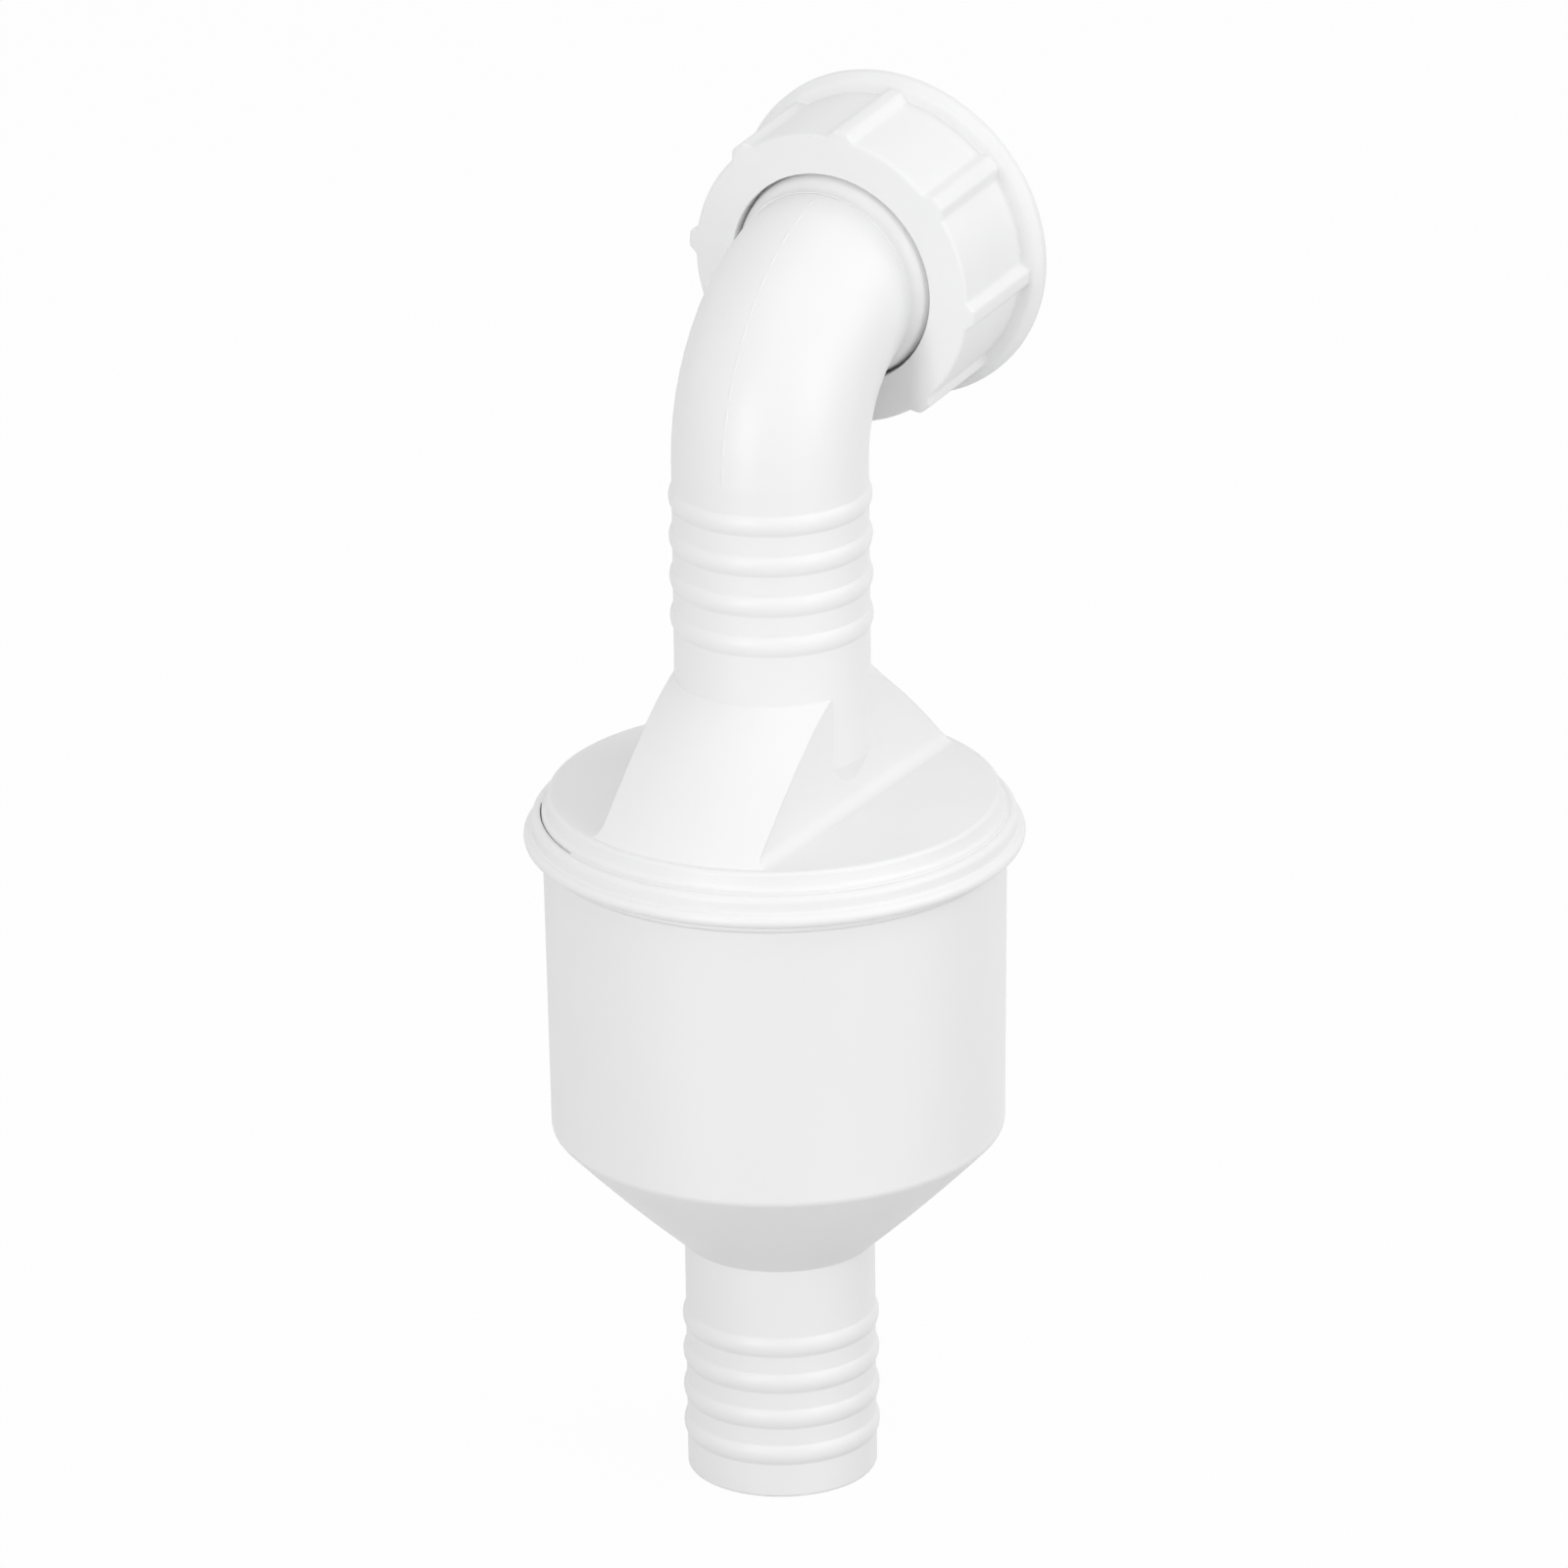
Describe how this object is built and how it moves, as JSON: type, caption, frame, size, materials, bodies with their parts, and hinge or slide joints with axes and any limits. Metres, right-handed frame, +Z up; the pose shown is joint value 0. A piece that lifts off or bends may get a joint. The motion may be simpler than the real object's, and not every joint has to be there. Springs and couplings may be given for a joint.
{
  "type": "drain non-return valve",
  "caption": "Upright drain valve: a round chamber with a hinged flap inside, a beaded hose tail below and an elbow with a union nut above.",
  "frame": {"origin": "middle of the hose tail's lower end", "axes": "+Z up along the chamber's and the hose tail's axis; the elbow's arm points along +X and rises 4 degrees"},
  "size_m": [0.0865, 0.082, 0.2309],
  "materials": {
    "white_plastic": "gloss",
    "inner_plastic": "satin",
    "seal_rubber": "matte",
    "pin_steel": "satin"
  },
  "bodies": {
    "valve_body": {"outlet_housing": "white_plastic", "inlet_cover": "white_plastic", "union_washer": "seal_rubber", "cover_o_ring": "seal_rubber", "seat_carrier": "inner_plastic", "carrier_gasket": "seal_rubber", "hinge_pin": "pin_steel"},
    "nut": {"union_nut": "white_plastic"},
    "flap_leaf": {"flap": "inner_plastic", "flap_seal": "seal_rubber", "seal_button": "inner_plastic"}
  },
  "joints": [
    {"name": "nut_turn", "type": "hinge", "parent": "valve_body", "child": "nut", "pos_m": [0.03392, 0, 0.20217], "axis": [0.9976, 0, 0.0698], "continuous": true},
    {"name": "flap_swing", "type": "hinge", "parent": "valve_body", "child": "flap_leaf", "pos_m": [-0.022, 0, 0.0959], "axis": [0, -1, 0], "range_deg": [0, 80]}
  ]
}
